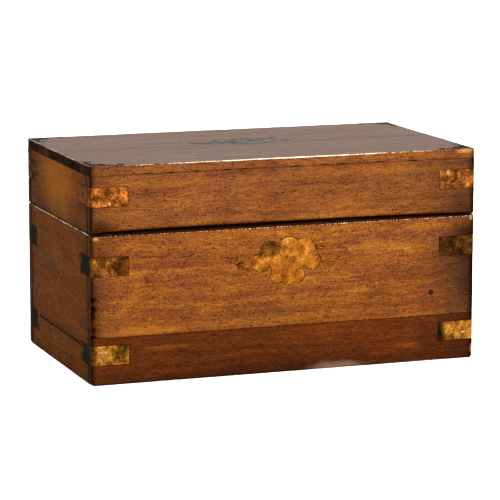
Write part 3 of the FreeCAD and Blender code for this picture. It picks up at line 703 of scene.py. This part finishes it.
BOTTOM_EDGES = {(a, b): 1 * MM for a in (FRONT, BACK, LEFT, RIGHT) for b in (TOP, UNDER)}
NAILS = [(low + high) / 2 for low, high in solids_of("bottom_nails")]
NAIL_HOLE, NAIL_SINK = 1.6 * MM, 1.2 * MM
for place in ("front", "middle", "back"):
    low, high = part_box(f"bottom_{place}_board")
    points, quads = board_shape(low, high, BOTTOM_EDGES, (TOP, UNDER), step=9 * MM)
    holes = [prism([(nail.y + way * NAIL_HOLE, z) for way, z in
                    ((-1, -MM), (1, -MM), (1, NAIL_SINK), (-1, NAIL_SINK))],
                   nail.x - NAIL_HOLE, nail.x + NAIL_HOLE) for nail in NAILS if low.y < nail.y < high.y]
    mesh = let_in(make_mesh("bottom", points, quads), make_mesh("holes", *gather(holes)))
    add_piece(f"planed_bottom_{place}", mesh, "chest", f"bottom_{place}_board", plain_wood)

# Black from the forge, with brown rust that dulls it. Rust grains are finer, and drawn about 1 mm wide.
black_iron, tree, shader = start_material("black iron, forged")
rust = add(tree, "TexCoord", {}, out="Object")
rust = add(tree, "TexNoise", {"Vector": rust, "Scale": 1 / (1.1 * MM), "Detail": 2.0})
rust = add(tree, "ValToRGB", {"Fac": rust}, stops=[(0.40, "#17130f"), (0.62, "#3a2214")])
plug(tree, shader, {"Base Color": rust, "Metallic": 0.6, "Roughness": 0.65})
heads = [dome(Vector((nail.x, nail.y, NAIL_SINK + 0.05 * MM)), Vector((0, 0, -1)), 1.75 * MM, 0.4 * MM, 4)
         for nail in NAILS]
add_piece("cut_bottom_nails", make_mesh("nails", *gather(heads)), "chest", "bottom_nails", black_iron)

# ---------------- straps and pins
# Corner straps of rolled brass, bent round the corners and let in flush. Each is held by pins whose
# filed heads sit in shallow dents. The brass is yellow where hands rub it, olive and black elsewhere.


def aged_brass(name, shades, seed, tint="#b09a5c"):
    """Tarnished brass: yellow metal in clouds of 18 mm under a brown and olive film, pitted and dull.

    It catches the light softly where it is bright, and hardly at all where the film is thick. Pale painted
    glints lie over it where a piece asks for them. Its grains and pits are finer than a millimetre in truth,
    and drawn 4 and 8 mm apart, as coarse as they need.
    """
    material, tree, shader = start_material(name)
    spot = add(tree, "TexCoord", {}, out="Object")
    spot = add(tree, "Mapping", {"Vector": spot, "Location": seed})
    clouds = add(tree, "TexNoise", {"Vector": spot, "Scale": 1 / (18 * MM), "Detail": 4.0})
    grains = add(tree, "TexNoise", {"Vector": spot, "Scale": 1 / (3.8 * MM), "Detail": 3.0})
    mixed = add(tree, "Math", [clouds, 0.65], operation="MULTIPLY")
    mixed = add(tree, "Math", [grains, 0.35, mixed], operation="MULTIPLY_ADD")
    stops = [(0.5 + off, shade) for off, shade in zip((-0.18, 0.18, -0.08, 0.0, 0.08), shades)]
    brass = add(tree, "ValToRGB", {"Fac": mixed}, stops=stops)
    film = add(tree, "Attribute", {}, out="Fac", attribute_name="tarnish")
    film = add(tree, "Math", [film, 0.55], operation="ADD")
    film = add(tree, "Math", [mixed, -1.1, film], operation="MULTIPLY_ADD")
    film = add(tree, "MapRange", [film, 0.1, 0.9])
    # Painted glints: pale spots where a piece asks for them, broken up by the grains
    painted_glint = add(tree, "Attribute", {}, out="Fac", attribute_name="painted_glint")
    painted_glint = add(tree, "Math", [grains, 0.8, painted_glint], operation="MULTIPLY_ADD")
    pits = scattered(tree, spot, 7.7 * MM, 0.1, 0.3, 0.7, 0.66, 0.70)
    for amount, shade in ((film, "#1d1705"), (add(tree, "MapRange", [painted_glint, 0.8, 1.15]), "#dcb888"),
                          (pits, "#140a04")):
        brass = add(tree, "Mix", {0: amount, 6: brass, 7: colour(shade)}, out=2, data_type="RGBA")
    height = add(tree, "Math", [pits, -1.4, mixed], operation="MULTIPLY_ADD")
    bump = add(tree, "Bump", {"Height": height, "Strength": 0.6, "Distance": 0.6 * MM})
    plug(tree, shader, {"Base Color": brass, "Specular IOR Level": 0.04, "Specular Tint": colour(tint),
                        "Normal": bump,
                        "Roughness": add(tree, "MapRange", [film, 0.0, 0.9, 0.38, 0.7]),
                        "Metallic": add(tree, "MapRange", [film, 0.0, 1.0, 0.75, 0.05])})
    return material


# Yellow brass, and a redder one, with more copper in it, for the upper straps of the front
gold_brass = aged_brass("yellow brass, tarnished", ("#483012", "#9c7745", "#654419", "#785423", "#88632e"),
                        (0.2, 0.5, 0.1))
orange_brass = aged_brass("reddish brass, tarnished", ("#432412", "#966b3d", "#60391b", "#714722", "#82552b"),
                          (0.7, 0.1, 0.4))
PIN_AT, PIN_SINK = 47 * MM, 0.75 * MM
STRAP_BEND = 4.2 * MM


def add_brass(name, mesh, body, node, material, tarnish, painted_glint=()):
    """Put a brass piece in place, with its tarnished spots and its spots of painted glint."""
    piece = add_piece(name, mesh, body, node, material)
    stain(piece, "tarnish", tarnish)
    stain(piece, "painted_glint", painted_glint)


def bend_round(corner_x, corner_y, leg, s, v, w):
    """Place of a strap's point: s along it from the end on the long wall, v up it, w above its seat."""
    sink = STRAP_THICKNESS - w
    first = leg - STRAP_BEND
    turn = STRAP_BEND * math.pi / 2
    if s < first:
        x, y = OUT_X - leg + s, OUT_Y - sink
    elif s < first + turn:
        angle = (s - first) / STRAP_BEND
        x = OUT_X - STRAP_BEND + (STRAP_BEND - sink) * math.sin(angle)
        y = OUT_Y - STRAP_BEND + (STRAP_BEND - sink) * math.cos(angle)
    else:
        x, y = OUT_X - sink, OUT_Y - STRAP_BEND - (s - first - turn)
    return Vector((corner_x * x, corner_y * y, v))


def add_strap(node, body, material, front_tarnish, side_tarnish, spots=(), glints=()):
    """One strap, with dents all over, softened edges and a shallow sinking round each pin."""
    strap_low, strap_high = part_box(node)
    leg = strap_high.x - strap_low.x
    corner_x = 1 if strap_high.x > 0 else -1
    corner_y = 1 if strap_high.y > 0 else -1
    length = 2 * (leg - STRAP_BEND) + STRAP_BEND * math.pi / 2
    low, high = Vector((0, strap_low.z, 0)), Vector((length, strap_high.z, STRAP_THICKNESS))
    bend = [leg - STRAP_BEND + STRAP_BEND * math.pi / 2 * i / 6 for i in range(7)]
    along = sorted([l for l in ruling(0, length, 2.6 * MM) if not bend[0] - MM < l < bend[-1] + MM] + bend)
    points, quads = lattice(along, ruling(low.y, high.y, 2.6 * MM), [0, 1.2 * MM, STRAP_THICKNESS])
    edges = {(face, TOP): 0.7 * MM for face in (LEFT, RIGHT, FRONT, BACK)}
    edges.update({(end, face): 1.5 * MM for end in (LEFT, RIGHT) for face in (FRONT, BACK)})
    pins = [(s, (low.y + high.y) / 2) for s in (leg - PIN_AT, length - leg + PIN_AT)]
    place = Vector((corner_x * 3, corner_y * 5, strap_low.z * 40))
    placed = []
    for point in points:
        at = point.copy()
        for faces, radius in edges.items():
            wear_edge(point, at, low, high, faces, radius)
        if at.z > STRAP_THICKNESS - 0.01 * MM:
            dent = 0.16 + 0.16 * noise.noise(at * 60 + place) + 0.12 * noise.noise(at * 180 + place)
            for pin_s, pin_v in pins:
                dent += 0.45 * max(0, 1 - math.hypot(at.x - pin_s, at.y - pin_v) / (4.5 * MM))
            point.z -= max(0.03, dent) * MM
        placed.append(bend_round(corner_x, corner_y, leg, *point))
    front = ((corner_x * OUT_X, corner_y * OUT_Y, strap_low.z + 0.02), (0.3, 0.004, 0.1), front_tarnish)
    side = ((corner_x * (OUT_X + 2 * MM), corner_y * (OUT_Y - leg / 2), strap_low.z + 0.02),
            (0.004, 0.06, 0.1), side_tarnish)
    add_brass(f"aged_{node}", make_mesh(node, placed, quads), body, node, material, [front, side, *spots],
              glints)


# How far each strap is tarnished on its front and on its side, then dark spots, then spots of painted glint
STRAP_LOOKS = {
    "base_lower_strap_front_left": (
        gold_brass, 0.28, 1.3,
        front_spots(0.01, (-0.45, 0.065, 0.015, 0.05, 0.7), (-0.375, 0.065, 0.012, 0.05, 0.6))),
    "base_lower_strap_front_right": (
        gold_brass, 0.15, 0.6, front_spots(0.01, (0.368, 0.065, 0.014, 0.05, 0.9)),
        front_spots(0.01, (0.425, 0.06, 0.012, 0.010, 0.45))),
    "base_upper_strap_front_left": (
        orange_brass, 0.52, 1.4, front_spots(0.01, (-0.375, 0.278, 0.024, 0.010, 0.8)),
        front_spots(0.01, (-0.40, 0.250, 0.012, 0.006, 0.35))),
    "base_upper_strap_front_right": (orange_brass, 0.77, 0.9),
}
for height in ("lower", "upper"):
    for corner in ("front_left", "front_right", "back_left", "back_right"):
        node = f"base_{height}_strap_{corner}"
        add_strap(node, "chest", *STRAP_LOOKS.get(node, (gold_brass, 0.7, 1.4)))


def add_pins(node, body, material):
    """Filed heads of the pins in a body's straps."""
    heads = []
    for low, high in solids_of(node):
        middle = (low + high) / 2
        if high.x - low.x > high.y - low.y:
            outward = Vector((math.copysign(1, middle.x), 0, 0))
            centre = Vector((outward.x * (OUT_X - PIN_SINK), middle.y, middle.z))
        else:
            outward = Vector((0, math.copysign(1, middle.y), 0))
            centre = Vector((middle.x, outward.y * (OUT_Y - PIN_SINK), middle.z))
        heads.append(dome(centre, outward, 2.3 * MM, 0.5 * MM))
    add_brass(f"filed_{node}", make_mesh(node, *gather(heads)), body, node, material,
              [((0, 0, 0), (1, 1, 1), 0.9)])


add_pins("base_strap_pins", "chest", orange_brass)

# ---------------- front cartouche
# Sheet brass sawn to a scrolled outline, let in flush and hammered down. It is golden where rubbing keeps
# it bright, with two lines of painted glint across it, and goes over to brown at its top left and to olive
# below.


def hammered(u, v, inside):
    """Height of the sheet over its seat: sunk at the edge, with hammer marks of 18 and 6 mm between."""
    at = Vector((u, v, 0))
    marks = 0.18 + 0.2 * noise.noise(at * 55) + 0.12 * noise.noise(at * 170)
    edge = max(0, 0.9 * MM - inside)
    return INLAY - max(0.05, marks) * MM - 0.5 * edge


cartouche_brass = aged_brass("golden brass sheet", ("#47290d", "#8a662f", "#603c16", "#6e471a", "#7b5323"),
                             (0.4, 0.3, 0.9))
SHEET_STEP = 1.4 * MM
sheet = outline_plate("front_sheet", cartouche, *CARTOUCHE_SPAN, SHEET_STEP, hammered, 0, on_front)
add_brass("hammered_front_cartouche", sheet, "chest", "front_cartouche", cartouche_brass,
          front_spots(0.05, (-0.045, 0.285, 0.045, 0.026, 0.62), (-0.025, 0.215, 0.022, 0.016, 0.12),
                      (0.108, 0.25, 0.035, 0.05, 0.45), (-0.11, 0.25, 0.03, 0.05, 0.45)),
          # painted glints: two pale lines across the sheet
          front_spots(0.05, (0.04, 0.226, 0.025, 0.003, 0.4), (0.0, 0.195, 0.03, 0.003, 0.4)))

# ---------------- lid: rails and top boards
# Four rails and a top of two boards, of the same mahogany. The top's edges show all round as a
# band, dark where the end grain took the stain. The lower edge in front has bowed up and worn round.
LID_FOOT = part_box("lid_front_rail")[0].z
TOP_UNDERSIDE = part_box("lid_top_front_board")[0].z
LID_TOP = cad_high.z
LID_EDGE_WEAR, LID_END_WEAR, TOP_SEAM_WEAR = 7.5 * MM, 4 * MM, 0.6 * MM


def bow(at):
    """Lift of the front rail's lower edge, most in the middle."""
    near = max(0, 1 - (at.z - LID_FOOT) / (40 * MM))
    return Vector((0, 0, 7 * MM * max(0, 1 - abs((at.x + 0.03) / 0.47) ** 5) * near))


# The rails are as the front. The top's upward faces take their own copy of the wood, greyer, with long even
# lines and little cloud: the grey is partly painted reflection of the pale room, seen at a grazing angle.
lid_wood = waxed_mahogany("waxed mahogany, lid", ("#301204", "#8f6420", "#522908", "#673b0d", "#794c14"), 0,
                          (0.9, 0.8, 0.1))
top_wood_painted_sheen = waxed_mahogany("waxed mahogany, top", ("#301f13", "#876d49", "#523722", "#644630", "#77573a"), 0,
                          (0.4, 0.6, 0.3), cloud=0.03, dust=0.25)
# The lower edge and its left corner are dark with dirt and with painted shade of the gap under the lid; the
# right end is darker
LID_FRONT_STAINS = {
    "dark": front_spots(0.05, (0.42, 0.36, 0.05, 0.03, 0.3), (-0.425, 0.343, 0.04, 0.018, 0.6)),
    "deep": front_spots(0.05, (0.45, 0.38, 0.13, 0.20, 0.6), (-0.45, 0.4, 0.04, 0.20, 0.45)),
    "dark_edges": [((FRONT, UNDER), 6 * MM, 1.3)],
}
long_board("lid_front_rail", -1, LID_FOOT, TOP_UNDERSIDE,
           {(FRONT, TOP): TOP_SEAM_WEAR, (FRONT, UNDER): LID_EDGE_WEAR, **at_ends(UNDER, LID_END_WEAR),
            (BACK, UNDER): INSIDE_WEAR}, "lid", lid_wood, LID_FRONT_STAINS, lift=bow)
long_board("lid_back_rail", 1, LID_FOOT, TOP_UNDERSIDE,
           {(BACK, TOP): TOP_SEAM_WEAR, **at_ends(UNDER, LID_END_WEAR), (FRONT, UNDER): INSIDE_WEAR},
           "lid", lid_wood, {}, cutters=hinge_seat(1))
for side, end in ((-1, "left"), (1, "right")):
    short_board(f"lid_{end}_rail", side, LID_FOOT, TOP_UNDERSIDE, TOP_SEAM_WEAR, LID_END_WEAR, "lid", {})

LID_CARTOUCHE_Y = 0.034


def on_lid(u, v, w):
    """Place on the top for a point of the lid's cartouche, w above its seat."""
    return Vector((u, LID_CARTOUCHE_Y + v, LID_TOP - INLAY + w))


CORNER_MARGIN = 4 * MM
CORNER_LENGTH = 78 * MM


def corner_plate(u, v):
    """Signed distance to a corner plate's outline, in metres from the corner of its square."""
    x, y = u / CORNER_LENGTH, v / CORNER_LENGTH
    square = max(-x, -y, x - 1, y - 1)
    arms = max(square, 0.96 - math.hypot(x - 1.02, y - 1.02))
    point = max(0.2 - x, 0.2 - y, x - 0.44, y - 0.44)
    curls = min(abs(math.hypot(x - a, y - b) - 0.07) - 0.022 for a, b in ((0.9, 0.17), (0.17, 0.9)))
    return min(arms, point, curls) * CORNER_LENGTH


def on_corner(side_x, side_y):
    """Placing of a corner plate's points on one corner of the top."""
    return lambda u, v, w: Vector((side_x * (OUT_X - CORNER_MARGIN - u), side_y * (OUT_Y - CORNER_MARGIN - v),
                                   LID_TOP - INLAY + w))


CORNERS = {"front_left": (-1, -1), "front_right": (1, -1), "back_right": (1, 1), "back_left": (-1, 1)}
CORNER_SPAN = ((-2 * MM, 0.082), (-2 * MM, 0.082))

for side, half in ((-1, "front"), (1, "back")):
    inner, outer = (BACK, FRONT) if side < 0 else (FRONT, BACK)
    low_y, high_y = sorted((0, side * OUT_Y))
    low, high = Vector((-OUT_X, low_y, TOP_UNDERSIDE)), Vector((OUT_X, high_y, LID_TOP))
    edges = {(outer, TOP): 4.5 * MM, **at_ends(TOP, 4 * MM), **at_ends(outer, 6 * MM),
             (inner, TOP): TOP_SEAM_WEAR, (outer, UNDER): TOP_SEAM_WEAR, **at_ends(UNDER, TOP_SEAM_WEAR)}
    points, quads = board_shape(low, high, edges, (TOP, outer, LEFT, RIGHT))
    mesh = make_mesh(f"worn_lid_top_{half}_board", points, quads)
    inlays = [(cartouche, CARTOUCHE_SPAN, on_lid)]
    inlays += [(corner_plate, CORNER_SPAN, on_corner(*CORNERS[f"{half}_{end}"])) for end in ("left", "right")]
    for shape, span, place in inlays:
        mesh = let_in(mesh, recess_for(shape, span, 1.8 * MM, place))
    stains = {
        "dark": front_spots(0.004, *[(x, TOP_UNDERSIDE, 0.012, 0.0022, 1.1) for x in
                                     (-0.32, -0.27, -0.21, -0.14, -0.10, 0.02, 0.09, 0.13, 0.22, 0.30)]),
        "dark_edges": [((LEFT,), 1.5 * MM, 1.0), ((RIGHT,), 1.5 * MM, 1.0), ((LEFT, outer), 8 * MM, 1.0),
                       ((RIGHT, outer), 8 * MM, 1.0), ((TOP, inner), 1.5 * MM, 0.7)],
        "bare": front_spots(0.02, (0.425, LID_TOP - 0.004, 0.03, 0.010, 0.75)),
        "bare_edges": [((outer, TOP), 3 * MM, 0.9), ((LEFT, TOP), 2 * MM, 0.8)],
        "deep_edges": [((LEFT,), 2 * MM, 0.7), ((RIGHT,), 2 * MM, 0.7), ((UNDER,), 2 * MM, 0.6)],
        "gold": [((-OUT_X, y, LID_TOP - 0.012), (0.004, 0.02, 0.02), 0.7) for y in (-0.19, -0.07, 0.09)],
        # painted highlights over worn wood, along the front and left top edges
        "worn_highlight": [((0.0, -OUT_Y + 1.5 * MM, LID_TOP - 1.2 * MM), (0.36, 0.0025, 0.0019), 0.75),
                   ((-OUT_X + 1.5 * MM, 0, LID_TOP - 1.2 * MM), (0.0025, 0.5, 0.0025), 0.42)]}
    piece = finish_board(f"lid_top_{half}_board", "lid", mesh, low, high, lid_wood, stains)
    # The upward faces take the greyer copy, its grey partly painted reflection
    piece.data.materials.append(top_wood_painted_sheen)
    for face in piece.data.polygons:
        if face.normal.z > 0.8:
            face.material_index = 1

# ---------------- brass of the lid
# Four straps like the base's, the same cartouche let into the top with its pendant to the front,
# and a plate in each corner of the top. The flat brasses are grey-green and tarnished: their grey is partly
# painted reflection of the pale room, seen at a grazing angle.
# As below the lid: tarnish on the front and on the side, dark spots, then spots of painted glint
LID_STRAP_LOOKS = {
    "lid_strap_front_left": (orange_brass, 0.24, 0.55, front_spots(0.01, (-0.41, 0.418, 0.022, 0.010, 0.45)),
                             front_spots(0.01, (-0.41, 0.399, 0.035, 0.012, 0.42))),
    "lid_strap_front_right": (orange_brass, 0.36, 0.7, front_spots(0.01, (0.40, 0.43, 0.03, 0.006, 0.6)),
                              front_spots(0.01, (0.43, 0.397, 0.012, 0.006, 0.5))),
}
for corner in CORNERS:
    node = f"lid_strap_{corner}"
    add_strap(node, "lid", *LID_STRAP_LOOKS.get(node, (gold_brass, 0.7, 1.1)))
add_pins("lid_strap_pins", "lid", orange_brass)

# Grey shades for the flat brasses, partly painted reflection of the pale room
dull_brass_painted_sheen = aged_brass("grey-green brass sheet", ("#2b251c", "#706858", "#494136", "#574f43", "#635b4e"),
                        (0.1, 0.8, 0.3), tint="#ffffff")
SHEETS = [("lid_cartouche", cartouche, CARTOUCHE_SPAN, SHEET_STEP, on_lid, "lid_cartouche", 0.3)]
SHEETS += [(f"corner_{corner}", corner_plate, CORNER_SPAN, 1.5 * MM, on_corner(*sides),
            f"lid_corner_inlay_{corner}", 0.85) for corner, sides in CORNERS.items()]
for name, shape, span, step, place, node, tarnish in SHEETS:
    sheet = outline_plate("sheet", shape, *span, step, hammered, 0, place)
    add_brass(f"hammered_{name}", sheet, "lid", node, dull_brass_painted_sheen, [((0, 0, LID_TOP), (1, 1, 1), tarnish)])

# ---------------- hinges
# Two flush hinges of cast brass at the back, their leaves let into both edges so that the knuckles sit
# in coves. They turn on steel pins, and slotted steel screws hold them. All are brown with age.
hinge_brass = aged_brass("brown brass, cast", ("#2e2008", "#6e5526", "#463310", "#544016", "#61491c"),
                         (0.6, 0.2, 0.7))
dull_steel = aged_brass("steel, dull and rusty", ("#251a12", "#6e675f", "#423a33", "#524a43", "#605850"),
                        (0.3, 0.3, 0.2))
for place in ("left", "right"):
    for part, metal in (("base_leaf", hinge_brass), ("lid_leaf", hinge_brass), ("pin", dull_steel)):
        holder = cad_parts[f"hinge_{place}_{part}"].material_slots[0]
        holder.link, holder.material = "OBJECT", metal


SCREW_RADIUS, SCREW_SLOT, SCREW_APART = 3.3 * MM, 0.5 * MM, 25 * MM
SCREW_SPAN = ((-4 * MM, 4 * MM), (-4 * MM, 4 * MM))


def slotted(u, v):
    """Signed distance to the two halves of a slotted screw's head."""
    return max(math.hypot(u, v) - SCREW_RADIUS, SCREW_SLOT - abs(v))


def add_screws(node, body, face_z, way):
    """Slotted heads, a hair proud of their leaf, each turned as it came to rest."""
    parts = []
    for number, (x, off) in enumerate((x, off) for x in HINGE_PLACES for off in (-SCREW_APART, SCREW_APART)):
        turn = Matrix.Rotation(0.7 + 1.9 * number, 2)

        def on_leaf(u, v, w):
            spun = turn @ Vector((u, v))
            return Vector((x + off + spun.x, HINGE_Y - 10 * MM + spun.y, face_z + way * w))

        head = outline_plate("head", slotted, *SCREW_SPAN, 0.4 * MM, lambda u, v, inside: 0.15 * MM,
                             -0.6 * MM, on_leaf)
        stem = outline_plate("stem", lambda u, v: math.hypot(u, v) - 3.2 * MM, *SCREW_SPAN, 0.4 * MM,
                             lambda u, v, inside: -0.6 * MM, -2.6 * MM, on_leaf)
        for mesh in (head, stem):
            parts.append(([v.co.copy() for v in mesh.vertices], [list(f.vertices) for f in mesh.polygons]))
    piece = add_piece(f"slotted_{node}", make_mesh(node, *gather(parts)), body, node, dull_steel)
    stain(piece, "tarnish", [((0, HINGE_Y, RIM), (1, 1, 1), 0.3)])


add_screws("base_hinge_screws", "chest", RIM, 1)
add_screws("lid_hinge_screws", "lid", LID_FOOT, -1)

# ---------------- floor, light and camera
# A pale floor of matt paper that glows a little, as if lit evenly from all round, and soft studio light:
# one broad box of light in front, and a white room. The camera stands a little to the left, and above.
FLOOR_REACH = 8.0
floor_mesh = bpy.data.meshes.new("floor")
floor_mesh.from_pydata([(x * FLOOR_REACH, y * FLOOR_REACH, 0)
                        for x, y in ((-1, -1), (1, -1), (1, 1), (-1, 1))], [], [(0, 1, 2, 3)])
paper, tree, shader = start_material("matt white paper")
plug(tree, shader, {"Base Color": colour("#fafafa"), "Roughness": 0.9, "Emission Color": colour("#ffffff"),
                    "Emission Strength": 0.3})
floor_mesh.materials.append(paper)
floor = bpy.data.objects.new("floor", floor_mesh)
bpy.context.scene.collection.objects.link(floor)

world = bpy.data.worlds.new("white room")
world.use_nodes = True
plug(world.node_tree, world.node_tree.nodes["Background"], {"Color": colour("#ffffff"), "Strength": 1.0})
bpy.context.scene.world = world

BOX_PLACE, BOX_AIM = Vector((0.7, -3.2, 0.9)), Vector((0, 0, 0.25))
lamp = bpy.data.lights.new("front box", "AREA")
lamp.shape = "RECTANGLE"
lamp.size, lamp.size_y, lamp.energy = 2.6, 1.8, 80
light_box = bpy.data.objects.new("front box", lamp)
light_box.location = BOX_PLACE
light_box.rotation_euler = (BOX_AIM - BOX_PLACE).to_track_quat("-Z", "Y").to_euler()
bpy.context.scene.collection.objects.link(light_box)

CAMERA_AZIMUTH, CAMERA_ELEVATION = math.radians(-19.83), math.radians(9.81)
CAMERA_DISTANCE, CAMERA_RIGHT, CAMERA_UP = 6.157, 0.0045, 0.229
back = Vector((math.sin(CAMERA_AZIMUTH) * math.cos(CAMERA_ELEVATION),
               -math.cos(CAMERA_AZIMUTH) * math.cos(CAMERA_ELEVATION), math.sin(CAMERA_ELEVATION)))
right = Vector((0, 0, 1)).cross(back).normalized()
up = back.cross(right)
camera = bpy.data.objects.new("camera", bpy.data.cameras.new("camera"))
camera.data.lens, camera.data.sensor_width, camera.data.clip_end = 192.2, 36, 50
place = Matrix.Translation(back * CAMERA_DISTANCE + right * CAMERA_RIGHT + up * CAMERA_UP)
camera.matrix_world = place @ Matrix((right, up, back)).transposed().to_4x4()
bpy.context.scene.collection.objects.link(camera)
bpy.context.scene.camera = camera
bpy.context.scene.view_settings.view_transform = "Standard"
bpy.context.scene.view_settings.look = "High Contrast"
